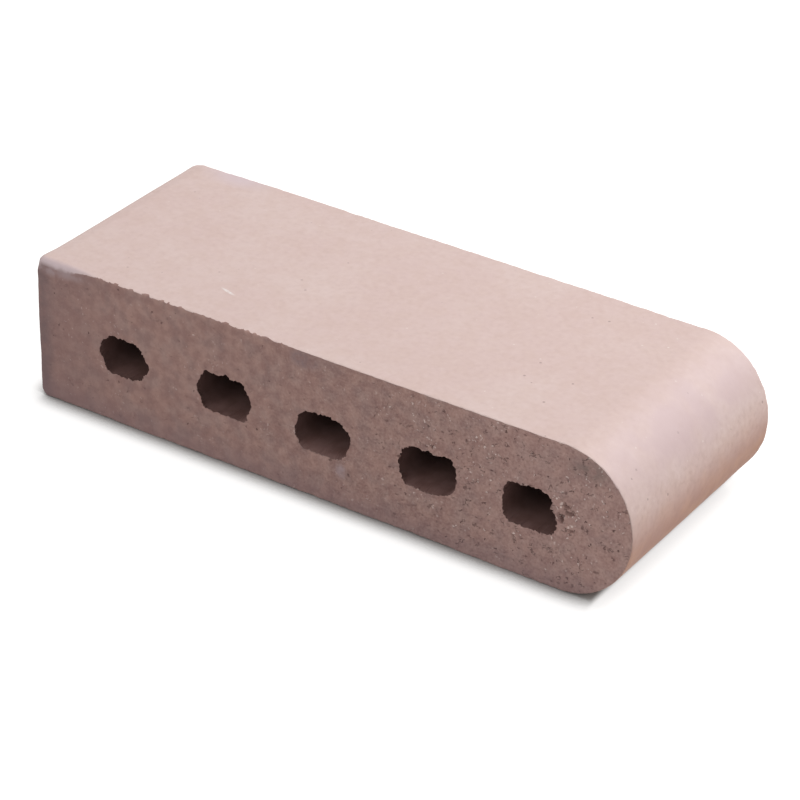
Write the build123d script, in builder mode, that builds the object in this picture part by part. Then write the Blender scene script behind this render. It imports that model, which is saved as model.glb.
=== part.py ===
import os

from build123d import *

# A clay brick with one full-round end, all sizes in millimetres.
# X runs along the length with the round nose at +X, Y runs through the
# cores from one wire-cut face to the other, Z is up from the bed.

# Envelope of the fired brick
LENGTH = 248.0
WIDTH = 95.0
HEIGHT = 57.0

# Nose: a half oval over the full height, a little flatter than a half circle
NOSE_REACH = 27.0
NOSE_RISE = HEIGHT / 2

# Tail end: the column leaves the die with a tight top corner and a softer bottom one
TAIL_TOP_RADIUS = 2.2
TAIL_BOTTOM_RADIUS = 3.4

# Cores: five rounded oblong holes in one row, from cut face to cut face
CORE_COUNT = 5
CORE_PITCH = 42.5
CORE_LENGTH = 22.5
CORE_HEIGHT = 16.0
CORE_CORNER_RADIUS = 5.5
CORE_CENTRE_Z = 27.5

# Edges left by the cutting wire, worn a little in handling
CUT_ARRIS_RADIUS = 0.7
CORE_MOUTH_RADIUS = 0.6

TAIL_X = -LENGTH / 2
NOSE_CENTRE_X = LENGTH / 2 - NOSE_REACH

with BuildPart() as brick:
    # The section that the die gives the clay column
    with BuildSketch(Plane.XZ) as section:
        with BuildLine():
            Line((NOSE_CENTRE_X, HEIGHT), (TAIL_X, HEIGHT))
            Line((TAIL_X, HEIGHT), (TAIL_X, 0))
            Line((TAIL_X, 0), (NOSE_CENTRE_X, 0))
            EllipticalCenterArc((NOSE_CENTRE_X, NOSE_RISE), NOSE_REACH, NOSE_RISE, -90, arc_size=180)
        make_face()
        tail_corners = section.vertices().group_by(Axis.X)[0].sort_by(Axis.Y)
        fillet(tail_corners[0], TAIL_BOTTOM_RADIUS)
        fillet(tail_corners[1], TAIL_TOP_RADIUS)
    extrude(amount=WIDTH / 2, both=True)

    # Both wire-cut faces keep a fine rounded arris all the way round the section
    cut_faces = brick.faces().filter_by(Axis.Y)
    fillet(cut_faces.edges(), CUT_ARRIS_RADIUS)

    # The row of cores, left open by the bridge of the die
    with BuildSketch(Plane.XZ) as core_row:
        with Locations((0, CORE_CENTRE_Z)):
            with GridLocations(CORE_PITCH, CORE_HEIGHT, CORE_COUNT, 1):
                RectangleRounded(CORE_LENGTH, CORE_HEIGHT, CORE_CORNER_RADIUS)
    extrude(amount=WIDTH / 2, both=True, mode=Mode.SUBTRACT)

    # The mouths of the cores, rubbed just round
    mouths = [wire for face in brick.faces().filter_by(Axis.Y) for wire in face.inner_wires()]
    fillet([edge for wire in mouths for edge in wire.edges()], CORE_MOUTH_RADIUS)

os.makedirs("parts", exist_ok=True)
brick.part.label = "brick"
export_step(brick.part, "parts/brick.step")
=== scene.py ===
# %% [markdown]
# # A bullnose coping brick
# The brick is one piece of fired clay. Stiff clay was pressed through a die as a long column whose
# section is the brick's side, with a full-round nose and a row of five cores. Wires cut the column
# into bricks, and the kiln did the rest. So it has three finishes: the smooth skin that the die
# rubbed, the torn faces that the wire left, and the brown walls of the cores, with painted shade
# deeper in them.
# This file loads the measured solid first, and everything below is worked out in its frame.

# %% Load the imported frame
import math

import bpy
import numpy as np
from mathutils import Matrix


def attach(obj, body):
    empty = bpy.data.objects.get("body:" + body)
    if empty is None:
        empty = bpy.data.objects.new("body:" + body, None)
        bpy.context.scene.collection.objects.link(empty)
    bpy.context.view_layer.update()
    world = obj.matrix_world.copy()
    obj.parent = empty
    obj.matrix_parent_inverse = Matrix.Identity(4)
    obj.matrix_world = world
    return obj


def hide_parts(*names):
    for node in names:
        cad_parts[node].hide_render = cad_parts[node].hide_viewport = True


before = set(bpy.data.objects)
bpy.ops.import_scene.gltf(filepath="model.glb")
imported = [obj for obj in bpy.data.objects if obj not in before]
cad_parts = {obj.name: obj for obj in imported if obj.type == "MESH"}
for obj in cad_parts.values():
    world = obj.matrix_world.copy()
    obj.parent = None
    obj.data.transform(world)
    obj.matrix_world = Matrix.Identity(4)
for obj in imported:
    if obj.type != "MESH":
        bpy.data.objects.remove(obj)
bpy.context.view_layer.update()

# %% [markdown]
# ## The camera
# The brick's straight edges fix the photograph's viewpoint: three sets of parallel edges meet in
# three vanishing points, which give the turn, the tilt and the focal length. A camera could also be
# moved by eye until the picture fits, but then a longer lens and a larger distance look almost the
# same. This one is placed by its own three axes, so that the photograph's small roll comes with it.

# %% Place the camera
MM = 0.001
AZIMUTH, ELEVATION, ROLL = np.radians([32.87, 30.78, 1.37])
DISTANCE, SIDE_SHIFT, UP_SHIFT = 1128.5, 1.92, 14.79
LENS, SENSOR = 141.24, 36.0


def camera_axes(azimuth, elevation, roll):
    """Right, up and back as unit vectors: back points from the brick to the camera, right is level,
    up is their cross product, and the roll turns right and up about back."""
    back = np.array([math.sin(azimuth) * math.cos(elevation),
                     -math.cos(azimuth) * math.cos(elevation), math.sin(elevation)])
    level = np.array([math.cos(azimuth), math.sin(azimuth), 0.0])
    high = np.cross(back, level)
    return (math.cos(roll) * level + math.sin(roll) * high,
            math.cos(roll) * high - math.sin(roll) * level, back)


right, up, back = camera_axes(AZIMUTH, ELEVATION, ROLL)
spot = (right * SIDE_SHIFT + up * UP_SHIFT + back * DISTANCE) * MM
camera = bpy.data.objects.new("camera", bpy.data.cameras.new("camera"))
camera.data.lens = LENS
camera.data.sensor_width = SENSOR
camera.data.clip_start = 0.05
camera.data.clip_end = 20.0
placed = np.eye(4)
placed[:3, 0], placed[:3, 1], placed[:3, 2], placed[:3, 3] = right, up, back, spot
camera.matrix_world = placed.T.tolist()
bpy.context.scene.collection.objects.link(camera)
bpy.context.scene.camera = camera
print("camera at", np.round(spot, 4))

# %% [markdown]
# ## The section
# The die's section is drawn once, as a closed line with its length measured along it. It starts
# under the brick at the first divider between two cores, runs to the nose, back over the top and
# down the tail. It could be traced point by point, but straight runs and arcs laid end to end hold
# the same few sizes as the solid, so the two can't drift apart.

# %% Draw the die's outline
LENGTH, WIDTH, HEIGHT = 248.0, 95.0, 57.0
NOSE_REACH, NOSE_RISE = 27.0, 28.5
TAIL_TOP_RADIUS, TAIL_BOTTOM_RADIUS = 2.2, 3.4
CORE_COUNT, CORE_PITCH, CORE_LENGTH, CORE_HEIGHT = 5, 42.5, 22.5, 16.0
CORE_CORNER_RADIUS, CORE_CENTRE_Z = 5.5, 27.5
CORE_X = (np.arange(CORE_COUNT) - (CORE_COUNT - 1) / 2) * CORE_PITCH
DIVIDER_X = (CORE_X[:-1] + CORE_X[1:]) / 2
NOSE_X = LENGTH / 2 - NOSE_REACH
TAIL_X = -LENGTH / 2
FRONT, BACK = -WIDTH / 2, WIDTH / 2


def run(start, end, step=0.05):
    """Points along a straight line, step apart, without its last point."""
    count = max(2, int(np.hypot(*np.subtract(end, start)) / step))
    share = np.linspace(0, 1, count, endpoint=False)[:, None]
    return np.array(start) * (1 - share) + np.array(end) * share


def turn(centre, radii, start, end, count=200):
    """Points on an oval arc: centre plus radius times cosine and sine of the angle."""
    angle = np.radians(np.linspace(start, end, count, endpoint=False))
    return np.stack([centre[0] + radii[0] * np.cos(angle), centre[1] + radii[1] * np.sin(angle)], 1)


def closed_outline():
    """The whole section as one fine closed line of X and Z, anticlockwise seen from the front, and the
    length along it at each point."""
    top, low = TAIL_TOP_RADIUS, TAIL_BOTTOM_RADIUS
    fine = np.concatenate([
        run((DIVIDER_X[0], 0), (NOSE_X, 0)),
        turn((NOSE_X, NOSE_RISE), (NOSE_REACH, NOSE_RISE), -90, 90, count=1200),
        run((NOSE_X, HEIGHT), (TAIL_X + top, HEIGHT)),
        turn((TAIL_X + top, HEIGHT - top), (top, top), 90, 180),
        run((TAIL_X, HEIGHT - top), (TAIL_X, low)),
        turn((TAIL_X + low, low), (low, low), 180, 270),
        run((TAIL_X + low, 0), (DIVIDER_X[0], 0)),
        [(DIVIDER_X[0], 0)]])
    return fine, np.concatenate([[0], np.cumsum(np.hypot(*np.diff(fine, axis=0).T))])


line, line_length = closed_outline()
ROUND = line_length[-1]
print("the outline is", round(ROUND, 1), "mm round")

# %% [markdown]
# ## Where the points go
# The cores could be cut out of a plain block, but such a cut leaves long thin triangles, and those
# can't carry fine relief. So each core gets a cell of the side face, from its mouth out to the
# dividers and the outline. The cells and the skin share the points along the outline, so the mesh
# closes without any gap. They stand about 0.75 mm apart, and closer where the top edge is ragged.

# %% Set out the points of the outline
ACROSS, ACROSS_RAGGED = 57, 84
ROUND_NOSE, ROUND_TAIL, UP_DIVIDER = 206, 250, 70
EITHER_WAY = 0.1

below = DIVIDER_X - DIVIDER_X[0]
on_top = line_length[np.argmin(np.hypot(*(line - (NOSE_X, HEIGHT)).T))] + NOSE_X - DIVIDER_X
stretches = [(below[0], below[1], ACROSS), (below[1], below[2], ACROSS), (below[2], below[3], ACROSS),
             (below[3], on_top[3], ROUND_NOSE),
             (on_top[3], on_top[2], ACROSS), (on_top[2], on_top[1], ACROSS),
             (on_top[1], on_top[0], ACROSS_RAGGED), (on_top[0], ROUND, ROUND_TAIL)]
along = np.concatenate([np.linspace(a, b, n, endpoint=False) for a, b, n in stretches])
first = np.concatenate([[0], np.cumsum([n for _, _, n in stretches])])


def at_length(s):
    """X and Z of the outline at the length s along it."""
    return np.stack([np.interp(s, line_length, line[:, 0]), np.interp(s, line_length, line[:, 1])], 1)


outline = at_length(along)
ahead = at_length((along + EITHER_WAY) % ROUND)
behind = at_length((along - EITHER_WAY) % ROUND)
heading = (ahead - behind) / np.hypot(*(ahead - behind).T)[:, None]
outward = np.stack([heading[:, 1], -heading[:, 0]], 1)
print(len(outline), "points round the section")

# %% [markdown]
# ## Clay is never even
# Torn clay, worn edges and slow waves all come from one kind of noise: random numbers on a cubic
# lattice, blended smoothly in between. The size of the lattice cell sets the size of the lumps. A
# Displace modifier could push the points about too, but noise that is worked out here can follow
# the outline and steer the material as well. The seeds are fixed, so each run gives the same brick.

# %% Make the lattice noise
LATTICE = 48


def lumps(points, cell, seed):
    """Heights from -1 to 1: random numbers on a lattice `cell` mm apart, blended between its corners
    with 3t^2 - 2t^3 on each axis."""
    table = np.random.default_rng(seed).uniform(-1, 1, (LATTICE, LATTICE, LATTICE))
    place = points / cell
    corner = np.floor(place).astype(int)
    t = place - corner
    t = t * t * (3 - 2 * t)
    height = np.zeros(len(points))
    for step in np.ndindex(2, 2, 2):
        i = (corner + step) % LATTICE
        share = np.prod(np.where(np.array(step) == 1, t, 1 - t), axis=1)
        height += share * table[i[:, 0], i[:, 1], i[:, 2]]
    return height


def rise(value, low, high):
    """0 below low, 1 above high, and 3t^2 - 2t^3 between."""
    t = np.clip((value - low) / (high - low), 0, 1)
    return t * t * (3 - 2 * t)


def solid(flat, y):
    """X, Y, Z from the section's X and Z and a Y that is one number or an array."""
    return np.stack([flat[:, 0], np.broadcast_to(y, len(flat)), flat[:, 1]], 1)


print("noise at one point", lumps(np.array([[1.0, 2.0, 3.0]]), 4.0, 1))

# %% [markdown]
# ## The worn arris
# The wire leaves a sharp edge, and handling wears it. A Bevel modifier would round it evenly, and a
# worn arris isn't even. So its radius changes along the outline: hardly worn at all by the nose,
# ragged along the tail half of the top edge with one deeper notch where that ends, and most at the
# tail, where the front corner slumped while the clay was still soft and its skin rolled over.

# %% Work out how far each edge is worn
NOTCH_X, NOTCH_HALF, NOTCH_CHIP = -23.0, 2.4, 0.8

edge_x, edge_z = outline[:, 0], outline[:, 1]
top_edge = rise(edge_z, 50, 56)
low_edge = 1 - rise(edge_z, 1, 8)
torn_stretch = rise(edge_x, -112, -98) * (1 - rise(edge_x, -24, -8))
rolled = rise(-edge_x, 97, 112) * rise(edge_z, 50, 55)


def chipped(y, seed):
    """How chipped the edge is, 0 to 1: lumps 1, 2.2 and 7 mm long added up, and cut off below 0."""
    here = solid(outline, y)
    fuzz = 0.9 * lumps(here, 1.0, seed) + 0.6 * lumps(here, 2.2, seed + 1)
    return np.clip(0.24 + fuzz + 0.6 * lumps(here, 7.0, seed + 2), 0, 1)


def worn_radius(y, seed, chip, corner_roll, tail_roll):
    """Radius of the worn edge in mm: 0.3 with lumps 2.5 mm long, the chips, a roll at the top of the
    tail, and a softer edge all down the tail."""
    radius = np.maximum(0.30 + 0.22 * lumps(solid(outline, y), 2.5, seed), 0.15) + 0.65 * chip
    radius += corner_roll * rise(-edge_x, 95, 113) * rise(edge_z, 51, 55.5)
    return radius + tail_roll * rise(-edge_x, 119.5, 123.6)


front_share = 0.12 + 0.88 * torn_stretch * top_edge + 0.3 * low_edge
front_chip = chipped(FRONT, seed=11) * front_share * (1 - rolled)
front_chip += NOTCH_CHIP * np.exp(-((edge_x - NOTCH_X) / NOTCH_HALF) ** 2) * top_edge
back_chip = 0.5 * chipped(BACK, seed=31) * (1 - 0.8 * rise(-edge_x, 116, 122))
front_radius = worn_radius(FRONT, 15, front_chip, corner_roll=2.2, tail_roll=0.1)
back_radius = worn_radius(BACK, 35, back_chip, corner_roll=0.5, tail_roll=2.1)
print("front arris from", round(front_radius.min(), 2), "to", round(front_radius.max(), 2), "mm")

# %% [markdown]
# ## The mouths of the cores
# The wire drags clay across each core, so no mouth keeps the die's shape. Noise alone would make all
# five mouths alike in kind, so the corner points of each front mouth were measured on the photograph,
# in millimetres, and the line between them is then softened and made ragged. The back mouths are out
# of sight. They start from the die's oblong and are torn in the same way.

# %% Describe the mouths
FRONT_MOUTHS = [
    [(-96.5, 28.5), (-96.3, 26.3), (-94.7, 25.4), (-94.2, 22.2), (-92.3, 20.0), (-86.0, 19.8),
     (-81.0, 20.0), (-77.5, 21.5), (-75.2, 24.5), (-73.9, 27.5), (-75.0, 29.5), (-76.8, 31.5),
     (-78.0, 34.0), (-80.5, 35.2), (-83.5, 34.9), (-85.5, 35.4), (-91.0, 35.2), (-94.2, 33.0),
     (-95.6, 30.2)],
    [(-53.0, 28.5), (-52.3, 25.0), (-51.0, 22.0), (-49.8, 19.9), (-45.5, 19.3), (-40.0, 19.7),
     (-35.0, 19.2), (-31.5, 19.9), (-31.0, 22.5), (-29.4, 25.5), (-29.1, 28.0), (-30.0, 31.0),
     (-31.5, 33.0), (-33.0, 35.0), (-35.2, 36.0), (-37.5, 34.8), (-39.6, 36.6), (-41.5, 35.4),
     (-45.5, 35.0), (-49.3, 35.3), (-50.8, 32.8), (-52.0, 31.0)],
    [(-10.5, 26.0), (-10.7, 23.5), (-9.7, 21.5), (-8.3, 18.6), (-6.0, 17.8), (-3.0, 18.3), (0.5, 17.8),
     (5.0, 18.5), (8.7, 18.8), (10.2, 20.5), (11.5, 23.5), (12.5, 26.5), (12.7, 29.5), (11.3, 31.2),
     (9.5, 32.2), (8.7, 33.4), (5.0, 34.3), (0.5, 34.4), (-4.0, 33.9), (-6.8, 33.3), (-8.5, 31.2),
     (-9.9, 29.0)],
    [(32.3, 27.0), (32.8, 23.5), (33.8, 21.0), (35.3, 19.0), (39.0, 18.8), (43.0, 18.6), (47.5, 18.8),
     (51.5, 20.5), (54.5, 21.8), (55.8, 24.0), (55.5, 27.0), (56.0, 30.0), (55.0, 33.0), (53.5, 35.0),
     (52.0, 35.8), (49.5, 35.5), (48.0, 34.4), (46.0, 34.8), (44.0, 35.6), (41.5, 34.8), (38.8, 35.7),
     (36.5, 34.5), (34.5, 33.5), (32.9, 30.5)],
    [(73.7, 29.5), (74.2, 26.0), (73.9, 23.0), (75.2, 20.8), (76.8, 19.4), (80.0, 19.4), (85.0, 19.6),
     (89.0, 19.4), (92.5, 20.0), (94.0, 21.0), (94.5, 23.5), (95.4, 25.8), (94.5, 27.5), (93.5, 29.0),
     (92.6, 31.0), (92.6, 32.8), (93.6, 34.2), (91.5, 35.0), (88.5, 36.6), (85.5, 36.2), (82.0, 35.5),
     (79.5, 35.7), (76.0, 35.4), (75.2, 33.5), (73.9, 32.0)],
]


def rays(angle):
    """Unit vectors of X and Z: the cosine and the sine of each angle."""
    return np.stack([np.cos(angle), np.sin(angle)], 1)


def die_reach(angle):
    """Distance from a core's centre to the die's rounded oblong in the direction of angle: the larger
    root where a ray meets the oblong's straight side or the circle of its corner."""
    tiny = 1e-9
    c, s = np.abs(np.cos(angle)), np.abs(np.sin(angle))
    half_x, half_z, r = CORE_LENGTH / 2, CORE_HEIGHT / 2, CORE_CORNER_RADIUS
    side = np.minimum(half_x / np.maximum(c, tiny), half_z / np.maximum(s, tiny))
    cx, cz = half_x - r, half_z - r
    along_ray = c * cx + s * cz
    across = cx * cx + cz * cz - r * r
    corner = along_ray + np.sqrt(np.maximum(along_ray ** 2 - across, 0))
    in_corner = (side * c > cx) & (side * s > cz)
    return np.where(in_corner, corner, side)


def mouth_reach(angle, centre, corners):
    """Distance to a mouth in the direction of angle: straight from one measured corner to the next."""
    away = np.array(corners) - centre
    turns = np.arctan2(away[:, 1], away[:, 0])
    order = np.argsort(turns)
    turns, away = turns[order], away[order]
    k = np.searchsorted(turns, angle) % len(turns)
    a, b = away[k - 1], away[k]
    ray = rays(angle)
    edge = b - a
    return (a[:, 0] * edge[:, 1] - a[:, 1] * edge[:, 0]) / (ray[:, 0] * edge[:, 1] - ray[:, 1] * edge[:, 0])


def soft_mouth(angle, centre, corners):
    """The measured mouth with its corners rounded: the mean reach over 10 degrees round each angle."""
    spread = [(angle + a + math.pi) % (2 * math.pi) - math.pi for a in np.radians([-5, -2.5, 0, 2.5, 5])]
    return np.mean([mouth_reach(a, centre, corners) for a in spread], axis=0)


print(len(FRONT_MOUTHS), "mouths, die reach", np.round(die_reach(np.array([0.0, math.pi / 2])), 2))

# %% [markdown]
# ## The torn face
# A wire through stiff clay leaves a coarse face: slow waves where it shook, lumps of a millimetre or
# two, and pits where it pulled out a grain. The pits are long and thin and lean the way the wire was
# drawn. They lie closer together towards the nose. Right of the last core a patch crumbled away. All
# of it could be a bump in the material, but only relief in the mesh also breaks the edges.

# %% Work out the depth of the torn face
PITS, PIT_REACH = 70, 4.0
LEAST_DEPTH = 0.02
CRUMBLED_X, CRUMBLED_Z = 98.0, 28.0
CRUMBLED_WIDE, CRUMBLED_HIGH = 3.4, 7.0

rng = np.random.default_rng(227)
pit_x = np.where(rng.random(PITS) < 0.7, rng.uniform(25, 122, PITS), rng.uniform(-122, 122, PITS))
pit_z = rng.uniform(2, 55, PITS)
pit_lean = np.radians(rng.normal(25, 30, PITS))
pit_long = rng.uniform(0.5, 1.1, PITS)
pit_wide = rng.uniform(0.35, 0.50, PITS)
pit_deep = rng.uniform(0.2, 0.6, PITS)


def pits(flat):
    """Depth of all pits at each point: each is a bell over its long and its short axis."""
    depth = np.zeros(len(flat))
    for x, z, lean, long, wide, deep in zip(pit_x, pit_z, pit_lean, pit_long, pit_wide, pit_deep):
        near = np.flatnonzero((np.abs(flat[:, 0] - x) < PIT_REACH) & (np.abs(flat[:, 1] - z) < PIT_REACH))
        dx, dz = flat[near, 0] - x, flat[near, 1] - z
        u = dx * math.cos(lean) + dz * math.sin(lean)
        v = dz * math.cos(lean) - dx * math.sin(lean)
        depth[near] += deep * np.exp(-(u / long) ** 2 - (v / wide) ** 2)
    return depth


def torn_depth(flat, y, seed):
    """How far the torn face lies inside the cut plane: waves 16 mm long, and lumps of 3.4 and 1.5 mm
    that are three times as high by the nose as at the tail."""
    here = solid(flat, y)
    torn_lumps = 0.12 * lumps(here, 3.4, seed + 1) + 0.17 * lumps(here, 1.5, seed + 2)
    roughness = 0.35 + 0.65 * rise(flat[:, 0], -70, 60)
    return np.maximum(0.24 + 0.20 * lumps(here, 16, seed) + roughness * torn_lumps, LEAST_DEPTH)


def crumbled(flat):
    """Depth of a patch right of the last core, where lumps of 2.2 and 1.1 mm were pulled out."""
    here = solid(flat, 0)
    wide, high = (flat[:, 0] - CRUMBLED_X) / CRUMBLED_WIDE, (flat[:, 1] - CRUMBLED_Z) / CRUMBLED_HIGH
    pulled = 0.5 + 2.2 * lumps(here, 2.2, 77) + 1.3 * lumps(here, 1.1, 78)
    return np.maximum(np.exp(-wide ** 2 - high ** 2) * pulled, 0)


def front_depth(flat):
    """Depth of the front face: torn clay, pits and the crumbled patch."""
    return np.maximum(torn_depth(flat, FRONT, 41) + pits(flat) + crumbled(flat), LEAST_DEPTH)


def back_depth(flat):
    """Depth of the back face: torn clay only."""
    return torn_depth(flat, BACK, 61)


print(PITS, "pits, deepest", round(pit_deep.max(), 2), "mm")

# %% [markdown]
# ## The skin of the die
# The skin is the section carried from one cut to the other. An extrusion would carry it straight, but
# here each station across the brick has its own, so the surface can wave. The skin starts on the torn
# face, turns over the worn arris on a quarter circle, runs the width of the brick, and turns down
# again at the back. The stations stand close together near both arrises, where the shape changes.

# %% Carry the section across the brick
ARC = np.radians(np.linspace(0, 90, 5))
FRONT_SPAN = np.array([0.006, 0.014, 0.028, 0.05, 0.085, 0.14, 0.21, 0.29, 0.37, 0.45])
SPAN = np.concatenate([FRONT_SPAN, 1 - FRONT_SPAN[::-1]])


def skin_depth(flat, y):
    """How far the skin lies inside the die's outline: slow waves, a dip along the top of the tail, and
    nothing at the slumped corner, which so stands out a little."""
    here = solid(flat, y)
    slump = rise(-flat[:, 0], 104, 121) * rise(flat[:, 1], 46, 55) * (1 - rise(y, -46, -39))
    tail = 0.9 * rise(-flat[:, 0], 118, 123.5) * (1 - rise(y, -45, -20))
    dip = 0.35 * rise(-flat[:, 0], 118, 122) * rise(flat[:, 1], 52, 56) * rise(y, -44, -36)
    waves = np.maximum(0.16 + 0.13 * lumps(here, 34, 91) + 0.06 * lumps(here, 9, 92), 0.03)
    return waves * (1 - np.maximum(slump, tail)) + dip


def skin_station(radius, face_depth, side, angle):
    """One line of the worn arris: a quarter circle of the edge's own radius, from the face (angle 0)
    to the skin (90 degrees). side is -1 at the front and 1 at the back."""
    inside = radius * (1 - math.sin(angle)) + skin_depth(outline, np.full(len(outline), side * BACK))
    y = side * (BACK - face_depth - radius * (1 - math.cos(angle)))
    return solid(outline - outward * inside[:, None], y)


front_edge_depth = front_depth(outline - outward * front_radius[:, None])
back_edge_depth = back_depth(outline - outward * back_radius[:, None])
front_arc = [skin_station(front_radius, front_edge_depth, -1, a) for a in ARC]
back_arc = [skin_station(back_radius, back_edge_depth, 1, a) for a in ARC[::-1]]
between = []
for share in SPAN:
    y = front_arc[-1][:, 1] * (1 - share) + back_arc[0][:, 1] * share
    between.append(solid(outline - outward * skin_depth(outline, y)[:, None], y))
skin = np.stack(front_arc + between + back_arc)
print("skin grid", skin.shape[:2])

# %% [markdown]
# ## The shared points
# Points are stored in rings, each with three marks that the material reads later: how torn the clay
# is, whether it is the wall of a core, and how deep in a pit it lies. The marks could be painted by
# hand, but the script knows them already. The skin goes in first, and then the upright dividers
# between the cores, which two cells of a face share.

# %% Store the skin and the dividers
points, quads, marks = [], [], []


def stored():
    """How many points are stored so far."""
    return sum(len(block) for block in points)


def store(block, torn, core, pit):
    """Adds points with their three marks, and gives back their numbers."""
    numbers = stored() + np.arange(len(block))
    points.append(block)
    marks.append(np.stack([np.broadcast_to(m, len(block)) for m in (torn, core, pit)], 1))
    return numbers


def band(lower, upper, turned=False):
    """Quads between two closed rings of points."""
    ring = np.stack([lower, upper, np.roll(upper, -1), np.roll(lower, -1)], 1)
    quads.append(ring[:, ::-1] if turned else ring)


def arris_torn(angle, chip):
    """The torn finish ends low on the worn edge, runs right over a chip, and stays under the rolled
    skin of the slumped corner."""
    reach = 14 + 100 * np.clip(chip, 0, 1)
    return (1 - rise(math.degrees(angle), reach, reach + 26)) * (1 - 0.55 * rolled)


front_torn = [arris_torn(a, front_chip) for a in ARC]
back_torn = [arris_torn(a, back_chip) for a in ARC[::-1]]
skin_torn = front_torn + [0.0] * len(between) + back_torn
skin_numbers = [store(station, torn, 0.0, 0.0) for station, torn in zip(skin, skin_torn)]
for a, b in zip(skin_numbers[:-1], skin_numbers[1:]):
    band(a, b)

borders = {}
up_share = np.linspace(0, 1, UP_DIVIDER + 1)[1:-1]
for side, numbers, edge, depth in ((-1, skin_numbers[0], skin[0], front_depth),
                                   (1, skin_numbers[-1], skin[-1], back_depth)):
    dividers = []
    for k in range(len(DIVIDER_X)):
        low, high = edge[first[k]], edge[first[7 - k]]
        flat = np.stack([low[0] + (high[0] - low[0]) * up_share, low[2] + (high[2] - low[2]) * up_share], 1)
        dividers.append(store(solid(flat, side * (BACK - depth(flat))), 1.0, 0.0, 0.0))
    borders[side] = (numbers, dividers)
print("shared points", stored())

# %% [markdown]
# ## Rings and walls
# A cell of the face is a set of rings, from the mouth of its core out to its own edge. Each ring is
# the straight blend of those two lines, and the rings lie closer together near the mouth, where the
# clay is most broken. The wall of the core goes on from the mouth, and within a few millimetres it
# takes up the die's smooth oblong. A fill would close the face too, but only as large flat polygons.

# %% Fill each cell with rings and run the walls through
FRONT_RINGS, BACK_RINGS = 29, 9
FRONT_WALL = [0.35, 0.9, 1.8, 3.2, 6.0, 12.0, 24.0]
BACK_WALL = [0.8, 3.0, 9.0]
CLOSER = 0.25
DARK_PIT, DARK_CRUMBLE = 0.35, 1.1
NOISE_RING = 9.0
MOUTH_FADE, RIDGE = 2.4, 0.05
FRAIL_X, FRAIL_Z, FRAIL_WIDE, FRAIL_HIGH = 95, 27, 4, 7
shared = np.concatenate(points)


def cell_loop(cell, numbers, dividers):
    """Numbers of the points round a cell, anticlockwise seen from the front: its share of the
    outline, and the dividers on its sides."""
    if cell == 0:
        return np.concatenate([numbers[first[7]:first[8]], numbers[:1], dividers[0]])
    if cell == CORE_COUNT - 1:
        return np.concatenate([numbers[first[3]:first[4]], [numbers[first[4]]], dividers[3][::-1]])
    return np.concatenate([numbers[first[cell - 1]:first[cell]], [numbers[first[cell]]], dividers[cell],
                           numbers[first[7 - cell]:first[8 - cell]],
                           [numbers[first[8 - cell] % len(numbers)]], dividers[cell - 1][::-1]])


def torn_lip(angle, reach, centre, y):
    """A mouth's reach with its ragged edge: lumps of 1.3 and 0.6 mm on the measured line, stronger
    where the clay is frail, beside the crumbled patch."""
    flat = centre + rays(angle) * reach[:, None]
    here = solid(flat, y)
    wide, high = (flat[:, 0] - FRAIL_X) / FRAIL_WIDE, (flat[:, 1] - FRAIL_Z) / FRAIL_HIGH
    frail = 1 + 0.8 * np.exp(-wide ** 2 - high ** 2)
    return reach + frail * (0.42 * lumps(here, 1.3, 81) + 0.45 * lumps(here, 0.6, 82))


def fill_cell(cell, side):
    """The rings of a cell on one side: each is mouth * (1 - t) + rim * t. Gives back what its wall goes
    on from: the angle and reach of the mouth's points, their numbers and their Y."""
    rings, depth = (FRONT_RINGS, front_depth) if side < 0 else (BACK_RINGS, back_depth)
    centre = np.array([CORE_X[cell], CORE_CENTRE_Z])
    loop = cell_loop(cell, *borders[side])
    rim = shared[loop][:, [0, 2]]
    angle = np.arctan2(rim[:, 1] - centre[1], rim[:, 0] - centre[0])
    if side < 0:
        reach = soft_mouth(angle, centre, FRONT_MOUTHS[cell])
    else:
        reach = die_reach(angle) + 0.5 * lumps(solid(centre + rays(angle) * NOISE_RING, 60 + cell), 4.0, 71)
    reach = torn_lip(angle, reach, centre, side * BACK)
    mouth = centre + rays(angle) * reach[:, None]
    step = np.linspace(0, 1, rings, endpoint=False)
    ring_numbers = []
    for t in step + CLOSER * (step * step - step):
        flat = mouth * (1 - t) + rim * t
        in_pit = 0.0
        if side < 0:
            in_pit = np.clip(pits(flat) / DARK_PIT + crumbled(flat) / DARK_CRUMBLE, 0, 1)
        ring_numbers.append(store(solid(flat, side * (BACK - depth(flat))), 1.0, 0.0, in_pit))
    ring_numbers.append(loop)
    for a, b in zip(ring_numbers[:-1], ring_numbers[1:]):
        band(a, b, turned=side > 0)
    return angle, reach, ring_numbers[0], side * (BACK - depth(mouth))


def run_wall(cell, ends):
    """The wall of a core from mouth to mouth. At the depth d its reach is the die's, plus fine ridges,
    plus what is left of the mouth's own shape: its difference from the die times e^(-d / fade)."""
    centre = np.array([CORE_X[cell], CORE_CENTRE_Z])
    walls = [ends[-1][2]]
    for side, depths in ((-1, FRONT_WALL), (1, BACK_WALL[::-1])):
        angle, reach, _, start = ends[side]
        die = die_reach(angle)
        for d in depths:
            y = start - side * d
            ridges = RIDGE * lumps(solid(centre + rays(angle) * NOISE_RING, y * 0.08), 1.6, 95)
            carried = die + ridges + (reach - die) * math.exp(-d / MOUTH_FADE)
            walls.append(store(solid(centre + rays(angle) * carried[:, None], y), 0.0, 1.0, 0.0))
    walls.append(ends[1][2])
    for a, b in zip(walls[:-1], walls[1:]):
        band(a, b, turned=True)


for cell in range(CORE_COUNT):
    run_wall(cell, {side: fill_cell(cell, side) for side in (-1, 1)})
print(stored(), "points")

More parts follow.
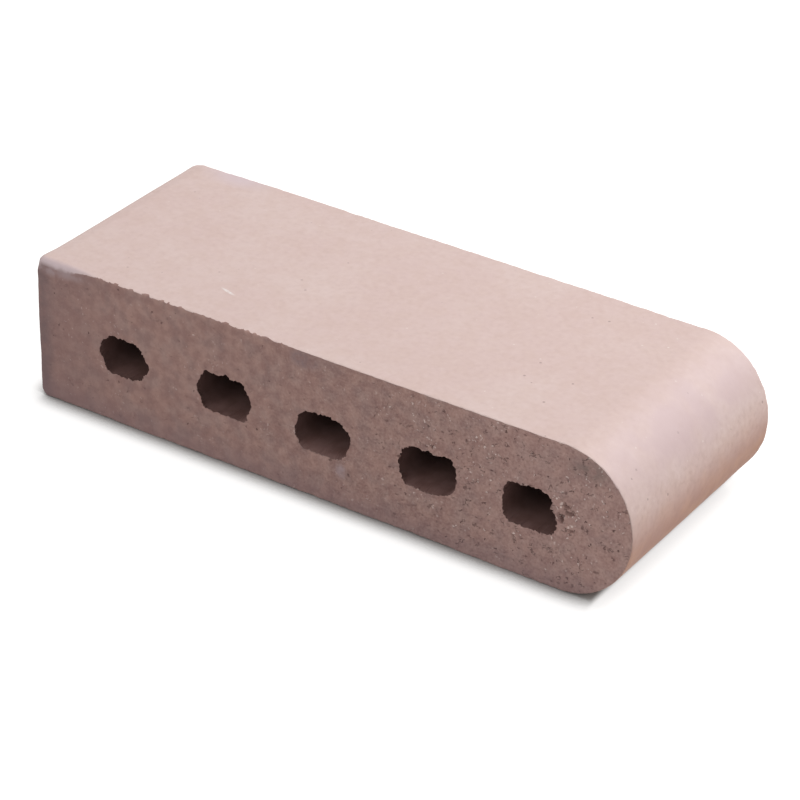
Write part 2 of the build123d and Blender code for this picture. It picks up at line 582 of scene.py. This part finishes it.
# %% [markdown]
# ## One closed mesh
# The grids share their points along every border, so one mesh holds the whole brick. It could be an
# object for each finish, but then their borders would show as seams. The three marks ride on the
# points as attributes. Edges that turn sharply, such as the lips of the cores, are shaded sharp.

# %% Build the mesh
SHARP_ANGLE = math.radians(52)

verts = np.concatenate(points) * MM
faces = np.concatenate(quads)
mark = np.concatenate(marks)
mesh = bpy.data.meshes.new("fired_brick")
mesh.vertices.add(len(verts))
mesh.vertices.foreach_set("co", verts.ravel().astype(np.float32))
mesh.loops.add(faces.size)
mesh.loops.foreach_set("vertex_index", faces.ravel().astype(np.int32))
mesh.polygons.add(len(faces))
mesh.polygons.foreach_set("loop_start", np.arange(len(faces), dtype=np.int32) * 4)
mesh.update(calc_edges=True)
for i, name in enumerate(("torn", "core", "pit")):
    layer = mesh.attributes.new(name, "FLOAT", "POINT")
    layer.data.foreach_set("value", mark[:, i].astype(np.float32))
mesh.shade_smooth()
mesh.set_sharp_from_angle(angle=SHARP_ANGLE)
brick = bpy.data.objects.new("fired_brick", mesh)
bpy.context.scene.collection.objects.link(brick)
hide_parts("brick")
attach(brick, "root")
sides = np.sort(np.stack([faces, np.roll(faces, -1, 1)], 2).reshape(-1, 2), 1)
uses = np.unique(sides, axis=0, return_counts=True)[1]
print(2 * len(faces), "triangles; every edge has two faces:", bool((uses == 2).all()))

# %% [markdown]
# ## Fired clay
# One material covers the brick, because it is one clay. The die rubbed its skin smooth and pale, with
# fine sand and a few dark specks in it. The wire tore the sides open, so they show the brown body,
# its dark pores and its pale grains. The walls of the cores are darker still, with painted shade
# deeper in. Pictures of clay could be wrapped round the brick, but patterns worked out from the
# coordinates have no seam and stay sharp from near. These helpers add a node or two each, so that a
# pattern reads like a sum.

# %% Small helpers for shader nodes
def blank(owner):
    """Gives a material or a world an empty node tree."""
    owner.use_nodes = True
    owner.node_tree.nodes.clear()
    return owner.node_tree


def put(kind, values=(), **settings):
    """Adds a node to the tree that is being made. A value that is a socket is linked, and any other
    value is set on the socket."""
    made_node = tree.nodes.new(kind)
    for name, value in settings.items():
        setattr(made_node, name, value)
    for name, value in dict(values).items():
        if isinstance(value, bpy.types.NodeSocket):
            tree.links.new(value, made_node.inputs[name])
        else:
            made_node.inputs[name].default_value = value
    return made_node


def maths(operation, a, b=0.0, clamp=False):
    """One Math node on two numbers."""
    return put("ShaderNodeMath", {0: a, 1: b}, operation=operation, use_clamp=clamp).outputs[0]


def times(a, b):
    """Two numbers multiplied. Of two masks it keeps what lies in both."""
    return maths("MULTIPLY", a, b)


def larger(a, b):
    """The larger of two numbers. Of two masks it keeps what lies in either."""
    return maths("MAXIMUM", a, b)


def ease(value, low, high, to_low=0.0, to_high=1.0):
    """Carries a value from low..high to to_low..to_high along a smooth step."""
    return put("ShaderNodeMapRange", {0: value, 1: low, 2: high, 3: to_low, 4: to_high},
               interpolation_type="SMOOTHSTEP").outputs[0]


def blend(factor, a, b):
    """Mixes two colours by a factor from 0 to 1."""
    return put("ShaderNodeMix", {0: factor, 6: a, 7: b}, data_type="RGBA").outputs[2]


def lay(under, paint, where, strength=1.0):
    """Lays the colour `paint` over another, as thick as `where` times `strength`, 0 to 1."""
    return blend(times(where, strength), under, paint)


def srgb(red, green, blue):
    """A colour as a picture states it, 0 to 255, made linear."""
    c = np.array([red, green, blue]) / 255
    c = np.where(c <= 0.04045, c / 12.92, ((c + 0.055) / 1.055) ** 2.4)
    return (*[float(v) for v in c], 1.0)


def mark_value(name):
    """A mark of the mesh as a number."""
    return put("ShaderNodeAttribute", attribute_name=name, attribute_type="GEOMETRY").outputs["Fac"]


print("helpers ready, a mid grey is", np.round(srgb(128, 128, 128)[:3], 3))

# %% [markdown]
# ## Patterns in millimetres
# All patterns read Object coordinates in millimetres, so the numbers below are sizes on the brick.
# Three are enough for clay: soft noise for clouds and sand, dots for specks and pores, and an oval
# patch for a mark that lies in one place.

# %% Measure in millimetres and make the patterns
clay = bpy.data.materials.new("fired_clay")
tree = blank(clay)
coordinates = put("ShaderNodeTexCoord").outputs["Object"]
in_mm = put("ShaderNodeVectorMath", {0: coordinates, "Scale": 1000.0}, operation="SCALE").outputs[0]
axes = put("ShaderNodeSeparateXYZ", {0: in_mm})
at_x, at_y, at_z = axes.outputs[0], axes.outputs[1], axes.outputs[2]


def grain(cell, detail=2.0, where=None, roughness=0.5):
    """Soft noise whose lumps are about `cell` mm across, 0 to 1."""
    return put("ShaderNodeTexNoise", {"Vector": where or in_mm, "Scale": 1.0 / cell, "Detail": detail,
                                      "Roughness": roughness}).outputs[0]


def dots(cell, radius, keep, where=None):
    """Round dots `radius` mm in size, one in some cells of a `cell` mm lattice: the distance to the
    nearest point of a Voronoi pattern, for the share `keep` of its cells."""
    cells = put("ShaderNodeTexVoronoi", {"Vector": where or in_mm, "Scale": 1.0 / cell})
    chosen = put("ShaderNodeSeparateColor", {0: cells.outputs["Color"]})
    size = times(ease(chosen.outputs[1], 0.0, 1.0, 0.5, 1.3), radius / cell)
    near = maths("SUBTRACT", 1.0, maths("DIVIDE", cells.outputs["Distance"], size), clamp=True)
    return times(ease(near, 0.0, 0.45), maths("LESS_THAN", chosen.outputs[0], keep))


def patch(centre, half, soft, where=None):
    """1 inside an oval patch at centre, fading from the share `soft` of its half sizes to 0 at its edge,
    all in mm."""
    away = put("ShaderNodeVectorMath", {0: where or in_mm, 1: centre}, operation="SUBTRACT").outputs[0]
    flat = put("ShaderNodeVectorMath", {0: away, 1: half}, operation="DIVIDE").outputs[0]
    far = put("ShaderNodeVectorMath", {0: flat}, operation="LENGTH").outputs["Value"]
    return ease(far, soft, 1.0, 1.0, 0.0)


print("patterns ready in", clay.name)

# %% [markdown]
# ## The pale skin
# The die's skin is a warm pale pink with slow clouds in it, fine sand that shows more low on the
# brick, and specks of darker grit and white sand that gather towards the nose. A single colour would
# look like plastic, and each of these is faint enough not to be seen by itself.

# %% Colour and relief of the skin
PALE_PINK, WARM_PINK, DULL_PINK = srgb(224, 198, 192), srgb(227, 203, 197), srgb(218, 191, 181)
LIGHT_SAND, DARK_SAND = srgb(244, 224, 218), srgb(192, 162, 154)
DARK_GRIT, WHITE_SAND = srgb(140, 116, 112), srgb(252, 240, 233)

skin_colour = blend(ease(grain(38.0), 0.35, 0.65), PALE_PINK, WARM_PINK)
mottle = grain(5.0)
skin_colour = lay(skin_colour, DULL_PINK, ease(mottle, 0.35, 0.68, 0.0, 0.35))
sand = grain(2.2)
sandy = ease(at_z, 48.0, 34.0, 0.12, 0.28)
skin_colour = lay(skin_colour, LIGHT_SAND, ease(sand, 0.5, 0.72), sandy)
skin_colour = lay(skin_colour, DARK_SAND, ease(sand, 0.5, 0.28), sandy)
toward_nose = ease(at_x, -90.0, 110.0, 0.5, 1.0)
specks = times(dots(5.5, 0.50, 0.4), toward_nose)
skin_colour = lay(skin_colour, DARK_GRIT, specks, 0.5)
skin_colour = lay(skin_colour, WHITE_SAND, times(dots(4.0, 0.40, 0.35), toward_nose), 0.5)
skin_height = maths("SUBTRACT", times(sand, 0.03), times(specks, 0.06))
print("the skin takes", len(tree.nodes), "nodes")

# %% [markdown]
# ## The nose
# The nose has a painted lilac tint over its highlight where it starts to turn down, and painted warm
# shade that goes tan towards the bed. Coloured lamps would tint the rest of the brick too, so both
# tints are painted into the clay.

# %% Tint the nose
LILAC_HIGHLIGHT_TINT, SHADE_TAN, SHADE_RED_TAN = srgb(213, 187, 188), srgb(206, 150, 120), srgb(193, 137, 116)

# painted lilac tint over the highlight where the nose starts to turn down
painted_highlight_tint = times(patch((113.0, 0.0, 48.0), (18.0, 80.0, 16.0), 0.3), ease(grain(14.0), 0.3, 0.6, 0.3, 0.75))
skin_colour = lay(skin_colour, LILAC_HIGHLIGHT_TINT, painted_highlight_tint)
# painted warm shade on the lower nose: full from 9 to 16 mm up, weaker at the bed, gone by 43 mm
painted_warm_shade = times(ease(at_z, 16.0, 43.0, 1.0, 0.0), ease(at_z, 0.0, 9.0, 0.35, 1.0))
painted_warm_shade = times(painted_warm_shade, ease(at_x, 90.0, 110.0, 0.0, 0.95))
skin_colour = lay(skin_colour, blend(ease(grain(9.0), 0.3, 0.7), SHADE_TAN, SHADE_RED_TAN), painted_warm_shade)
print("with the nose", len(tree.nodes), "nodes")

# %% [markdown]
# ## The brown body
# Inside, the clay is brown and coarse. Two browns mix in lumps, and redder and greyer clouds lie over
# them. Painted shade darkens the whole a little towards the tail, and painted light lightens it by the
# nose. The clouds read their noise at a place moved aside, so that they don't follow the lumps. Fine
# crumbs, light and dark, are stronger towards the nose, as the relief of the mesh is.

# %% Mix the browns of the torn face
BROWN, LIGHT_BROWN = srgb(156, 123, 117), srgb(179, 145, 136)
RED_BROWN, GREY_BROWN = srgb(174, 131, 119), srgb(156, 136, 132)
TAIL_PAINTED_SHADE, NOSE_PAINTED_LIGHT = srgb(148, 116, 112), srgb(200, 164, 158)
LIGHT_CRUMB, DARK_CRUMB = srgb(208, 178, 168), srgb(104, 78, 73)

body_colour = blend(ease(grain(4.0), 0.3, 0.7), BROWN, LIGHT_BROWN)
aside = put("ShaderNodeVectorMath", {0: in_mm, 1: (57.0, 31.0, 13.0)}, operation="ADD").outputs[0]
ruddy = grain(8.0, where=aside)
body_colour = lay(body_colour, RED_BROWN, ease(ruddy, 0.42, 0.66, 0.0, 0.22))
body_colour = lay(body_colour, GREY_BROWN, ease(ruddy, 0.52, 0.32, 0.0, 0.22))
# painted shade towards the tail and painted light towards the nose, as the light falls off
body_colour = lay(body_colour, TAIL_PAINTED_SHADE, ease(at_x, -75.0, -118.0, 0.0, 0.5))
body_colour = lay(body_colour, NOSE_PAINTED_LIGHT, ease(at_x, 35.0, 90.0, 0.0, 0.2))
coarse = ease(at_x, -70.0, 60.0, 0.25, 1.0)
crumbs = grain(1.1, roughness=0.6)
crumb_strength = times(coarse, 0.34)
body_colour = lay(body_colour, LIGHT_CRUMB, ease(crumbs, 0.45, 0.75), crumb_strength)
body_colour = lay(body_colour, DARK_CRUMB, ease(crumbs, 0.5, 0.25), crumb_strength)
print("with the browns", len(tree.nodes), "nodes")

# %% [markdown]
# ## The dark pores
# The wire tore the clay open in small dark pores that lean up to the right, and in thin creases. Round
# dots would look printed. So their coordinates are bent by a second noise, turned and squeezed, and
# each dot comes out slim, leaning and a little crooked. The pits of the mesh are darkened as well.

# %% Tear the pores
PORE_BROWN = srgb(76, 48, 43)
BEND = 2.2

wander = put("ShaderNodeTexNoise", {"Vector": in_mm, "Scale": 0.8, "Detail": 1.0}).outputs["Color"]
wander = put("ShaderNodeVectorMath", {0: wander, 1: (0.5, 0.5, 0.5)}, operation="SUBTRACT").outputs[0]
wander = put("ShaderNodeVectorMath", {0: wander, "Scale": BEND}, operation="SCALE").outputs[0]
bent = put("ShaderNodeVectorMath", {0: in_mm, 1: wander}, operation="ADD").outputs[0]


def leaning(degrees, squeeze):
    """Coordinates turned about Y and squeezed, in which a round dot becomes a slim leaning one."""
    turned = put("ShaderNodeVectorRotate", {"Vector": bent, "Angle": math.radians(degrees)},
                 rotation_type="Y_AXIS").outputs[0]
    return put("ShaderNodeVectorMath", {0: turned, 1: (squeeze, 1.0, 1.0)}, operation="MULTIPLY").outputs[0]


def creases(cell, width, where, holes):
    """Thin torn lines: where a noise passes through its middle value, within `width` of it, kept only
    inside patches where a second noise is high."""
    middle = maths("ABSOLUTE", maths("SUBTRACT", grain(cell, 1.0, where), 0.5))
    inside = ease(grain(cell * 1.3, 1.0), holes, holes + 0.07)
    return times(ease(middle, 0.0, width, 1.0, 0.0), inside)


coarser = ease(at_x, 0.0, 75.0, 0.3, 1.0)
pore = larger(dots(1.9, 0.28, 0.32, leaning(30, 0.36)), dots(3.1, 0.36, 0.45, leaning(5, 0.6)))
pore = larger(pore, times(creases(2.4, 0.03, leaning(15, 0.5), 0.57), 0.75))
pore = times(pore, coarser)
pore = larger(pore, times(dots(6.0, 0.85, 0.6, leaning(60, 0.8)), 0.8))
pore = larger(pore, ease(mark_value("pit"), 0.4, 1.0, 0.0, 0.7))
body_colour = lay(body_colour, PORE_BROWN, pore, 0.76)
print("with the pores", len(tree.nodes), "nodes")

# %% [markdown]
# ## The pale grains
# Pale grains stand out of the torn face. They gather in swarms, and lie thickest above the last cores
# and in the crumbled patch, where the clay broke most. An even spread would look like terrazzo, so
# masks thin them out elsewhere. The pores and the grains also make the relief of the torn face.

# %% Scatter the grains
PALE_GRAIN = srgb(244, 222, 214)

gathers = ease(grain(9.0, 1.0), 0.46, 0.60, 0.1, 1.0)
grains = times(dots(1.6, 0.48, 0.42, bent), times(gathers, coarser))
grains = larger(grains, times(dots(6.0, 0.8, 0.4, bent), 0.5))
broken = times(ease(grain(7.0, 1.0, aside), 0.5, 0.62), ease(at_z, 30.0, 42.0))
broken = times(broken, ease(at_x, 10.0, 35.0))
broken = larger(broken, patch((100.0, FRONT, 33.0), (8.0, 8.0, 13.0), 0.3))
grains = larger(grains, times(dots(1.5, 0.55, 0.45, bent), broken))
body_colour = lay(body_colour, PALE_GRAIN, grains, 0.85)
body_height = times(crumbs, times(coarse, 0.20))
body_height = maths("SUBTRACT", body_height, times(pore, 0.30))
body_height = maths("ADD", body_height, times(grains, 0.14))
print("with the grains", len(tree.nodes), "nodes")

# %% [markdown]
# ## The grey tail and its lip
# The torn face is greyer along the tail and towards the bed. The rolled lip of the slumped corner is
# grey with a painted highlight along its upper edge, and the torn clay just under it is pale. The
# back edge of the tail has a faint painted sheen. These lie in fixed places, so masks on the
# coordinates hold them, and noise breaks their borders.

# %% Grey the tail and the bed, and paint the lip
TAIL_GREY, BED_GREY = srgb(120, 102, 104), srgb(140, 116, 120)
LIP_GREY, LIP_PAINTED_HIGHLIGHT, UNDER_LIP = srgb(152, 130, 132), srgb(218, 198, 203), srgb(178, 156, 158)
PAINTED_SHEEN = srgb(222, 203, 210)

grey_tail = times(ease(at_x, -122.5, -115.5, 1.0, 0.0), ease(grain(5.0), 0.25, 0.6, 0.5, 1.0))
body_colour = lay(body_colour, TAIL_GREY, grey_tail, 0.65)
lip = times(ease(at_x, -110.0, -94.0, 1.0, 0.0), ease(at_y, -47.0, -44.0, 1.0, 0.0))
lip = times(lip, ease(at_z, 50.0, 54.0))
lip_height = maths("ADD", at_z, times(grain(3.0), 2.0))
# the lip is grey low down, with a painted highlight along its ridge
skin_colour = lay(skin_colour, blend(ease(lip_height, 55.0, 57.3), LIP_GREY, LIP_PAINTED_HIGHLIGHT), lip, 0.8)
cloudy = ease(grain(4.0), 0.35, 0.6, 0.3, 1.0)
under_lip = times(patch((-118.0, FRONT, 55.0), (22.0, 8.0, 5.0), 0.35), cloudy)
body_colour = lay(body_colour, UNDER_LIP, under_lip, 0.85)
# painted sheen along the back edge of the tail
skin_colour = lay(skin_colour, PAINTED_SHEEN, patch((-102.0, 46.0, HEIGHT), (20.0, 10.0, 6.0), 0.1), 0.6)
body_colour = lay(body_colour, BED_GREY, ease(at_z, 0.0, 13.0, 1.0, 0.0), 0.4)
print("with the tail", len(tree.nodes), "nodes")

# %% [markdown]
# ## Smudges and the scratch
# A grey-blue smudge lies under the top edge and a grey one by the nose, and a pale smear lies under
# the third core. On top, a short pale scratch lies near the front. Each is one soft oval patch, and
# the scratch is a very slim one, turned to its slant.

# %% Paint the marks of use
SMUDGE_BLUE, SMUDGE_GREY, SMEAR = srgb(112, 104, 116), srgb(116, 104, 100), srgb(186, 168, 176)
SMUDGES = [((-7.0, FRONT, 53.5), (9.0, 8.0, 5.0), SMUDGE_BLUE, 0.55),
           ((106.0, FRONT, 50.0), (12.0, 8.0, 6.5), SMUDGE_GREY, 0.65),
           ((8.5, FRONT, 14.5), (3.6, 8.0, 4.2), SMEAR, 0.6)]
SCRATCH, SCRATCH_CENTRE, SCRATCH_SLANT = srgb(250, 243, 240), (-53.1, -28.0, HEIGHT), math.radians(17)

for centre, half, paint, strength in SMUDGES:
    body_colour = lay(body_colour, paint, times(patch(centre, half, 0.1), cloudy), strength)
slanted = put("ShaderNodeVectorRotate", {"Vector": in_mm, "Center": SCRATCH_CENTRE, "Angle": SCRATCH_SLANT},
              rotation_type="Z_AXIS").outputs[0]
scratch = times(patch(SCRATCH_CENTRE, (4.6, 0.85, 4.0), 0.35, slanted), ease(grain(0.9), 0.3, 0.55, 0.3, 1.0))
skin_colour = lay(skin_colour, SCRATCH, scratch, 0.75)
print("with the marks", len(tree.nodes), "nodes")

# %% [markdown]
# ## The walls of the cores, and the finished clay
# The walls were rubbed by the die like the skin, but they stay brown, and painted shade darkens them
# with depth. Deep holes get darker by themselves, but the real ones are darker still. The marks of the
# mesh then lay the three finishes side by side. Noise breaks up the torn mark where it fades over the
# arris, and a pale line runs along it, partly rubbed clay and partly a painted highlight.

# %% Put the finishes together
WALL_BROWN, WALL_LIGHT, WALL_PAINTED_SHADE = srgb(121, 90, 84), srgb(135, 104, 99), srgb(56, 38, 32)
PALE_ARRIS_WEAR_AND_HIGHLIGHT = srgb(236, 216, 209)
SKIN_ROUGH, MOTTLE_ROUGH, TORN_ROUGH = 0.52, 0.12, 0.3

wall_colour = blend(ease(grain(5.0, 3.0), 0.3, 0.7), WALL_BROWN, WALL_LIGHT)
# painted shade deeper inside the cores
wall_colour = lay(wall_colour, WALL_PAINTED_SHADE, ease(maths("ABSOLUTE", at_y), 45.0, 25.0, 0.0, 0.75))
torn_mark = mark_value("torn")
ragged = times(maths("SUBTRACT", crumbs, 0.5), maths("SUBTRACT", 1.3, lip))
torn_here = ease(maths("ADD", torn_mark, ragged), 0.38, 0.58)
core_here = ease(mark_value("core"), 0.05, 0.9)
# a pale line along the arris: partly rubbed clay, partly a painted highlight
arris_wear_and_highlight = times(ease(torn_mark, 0.02, 0.3), ease(torn_mark, 0.9, 0.5))
arris_wear_and_highlight = times(arris_wear_and_highlight, maths("SUBTRACT", 1.0, lip))
arris_wear_and_highlight = times(arris_wear_and_highlight, ease(at_x, -122.5, -118.0, 0.2, 1.0))
colour = lay(skin_colour, PALE_ARRIS_WEAR_AND_HIGHLIGHT, arris_wear_and_highlight, 0.7)
colour = blend(torn_here, colour, body_colour)
colour = blend(core_here, colour, wall_colour)
rough = maths("ADD", times(torn_here, TORN_ROUGH), maths("ADD", SKIN_ROUGH, times(mottle, MOTTLE_ROUGH)))
height = put("ShaderNodeMix", {0: torn_here, 2: skin_height, 3: body_height}, data_type="FLOAT").outputs[0]
relief = put("ShaderNodeBump", {"Strength": 1.0, "Distance": MM, "Height": height})
surface = put("ShaderNodeBsdfPrincipled", {"Base Color": colour, "Roughness": rough,
                                           "Normal": relief.outputs[0], "Specular IOR Level": 0.5})
put("ShaderNodeOutputMaterial", {"Surface": surface.outputs[0]})
mesh.materials.append(clay)
print(len(tree.nodes), "nodes in", clay.name)

# %% [markdown]
# ## The floor
# The brick lies on a white floor that keeps its soft shadow. A white floor would light the brick from
# below and still not look quite white, so this one is a dull grey that glows white for the camera.
# The glow fades where the brick hides the sky, and that is the contact shadow. Beside the nose the
# glow is kept up, because the photograph's shadow is narrow there.

# %% Lay the floor
WHITE, FLOOR_GREY = (1.0, 1.0, 1.0, 1.0), (0.38, 0.37, 0.36, 1.0)
FLOOR_HALF, FLOOR_GLOW, SHADOW_REACH = 6.0, 0.88, 0.012

floor_mesh = bpy.data.meshes.new("floor")
floor_corners = [(-FLOOR_HALF, -FLOOR_HALF, 0), (FLOOR_HALF, -FLOOR_HALF, 0),
                 (FLOOR_HALF, FLOOR_HALF, 0), (-FLOOR_HALF, FLOOR_HALF, 0)]
floor_mesh.from_pydata(floor_corners, [], [(0, 1, 2, 3)])
floor = bpy.data.objects.new("floor", floor_mesh)
bpy.context.scene.collection.objects.link(floor)
white = bpy.data.materials.new("white_floor")
tree = blank(white)
path = put("ShaderNodeLightPath")
seen = larger(path.outputs["Is Glossy Ray"], path.outputs["Is Transmission Ray"])
seen = larger(path.outputs["Is Camera Ray"], seen)
dull = put("ShaderNodeBsdfDiffuse", {"Color": FLOOR_GREY})
open_sky = put("ShaderNodeAmbientOcclusion", {"Distance": SHADOW_REACH}, samples=8).outputs["AO"]
floor_x = put("ShaderNodeSeparateXYZ", {0: put("ShaderNodeTexCoord").outputs["Object"]}).outputs[0]
# painted light on the floor beside the nose, which keeps the shadow there narrow
painted_light_beside_nose = maths("ADD", ease(floor_x, 0.1085, 0.1118, 0.0, 0.78), ease(floor_x, 0.1115, 0.122, 0.0, 0.2))
open_sky = larger(ease(open_sky, 0.45, 0.95), painted_light_beside_nose)
glow = put("ShaderNodeEmission", {"Color": WHITE, "Strength": times(times(seen, open_sky), FLOOR_GLOW)})
both = put("ShaderNodeAddShader", {0: dull.outputs[0], 1: glow.outputs[0]})
put("ShaderNodeOutputMaterial", {"Surface": both.outputs[0]})
floor_mesh.materials.append(white)
print("floor", 2 * FLOOR_HALF, "m wide")

# %% [markdown]
# ## The sky and the lamps
# An even sky lights the brick from all round, and looks white to the camera. One large soft lamp hangs
# behind and above the brick. Its place follows from the pale band along the nose: there the skin
# mirrors it. A weaker lamp in front, a little to the left, lightens the shade on the torn face.

# %% Hang the lamps
SKY = 0.42

world = bpy.data.worlds.new("sky")
bpy.context.scene.world = world
tree = blank(world)
path = put("ShaderNodeLightPath")
seen = larger(path.outputs["Is Camera Ray"], path.outputs["Is Transmission Ray"])
strength = put("ShaderNodeMix", {0: seen, 2: SKY, 3: 1.0}, data_type="FLOAT").outputs[0]
sky = put("ShaderNodeBackground", {"Color": WHITE, "Strength": strength})
put("ShaderNodeOutputWorld", {"Surface": sky.outputs[0]})


def hang(name, toward, far, size, level):
    """A square soft lamp `far` metres from the brick in the direction `toward`. Its power is set by the
    level that it gives a white surface turned to it: power = level * pi^2 * far^2."""
    away = np.array(toward) / np.linalg.norm(toward)
    side = np.cross([0, 0, 1], away)
    side /= np.linalg.norm(side)
    lamp = bpy.data.objects.new(name, bpy.data.lights.new(name, "AREA"))
    lamp.data.shape = "SQUARE"
    lamp.data.size = size
    lamp.data.energy = level * math.pi ** 2 * far ** 2
    axes_of_lamp = np.eye(4)
    axes_of_lamp[:3, 0], axes_of_lamp[:3, 1] = side, np.cross(away, side)
    axes_of_lamp[:3, 2], axes_of_lamp[:3, 3] = away, away * far
    lamp.matrix_world = axes_of_lamp.T.tolist()
    bpy.context.scene.collection.objects.link(lamp)
    print(name, "at", np.round(away * far, 2), "with", round(lamp.data.energy, 1), "W")


hang("softbox", (0.40, 0.64, 0.66), far=1.5, size=0.9, level=0.74)
hang("fill", (-0.20, -0.88, 0.44), far=1.8, size=1.2, level=0.28)
bpy.context.scene.view_settings.view_transform = "Standard"
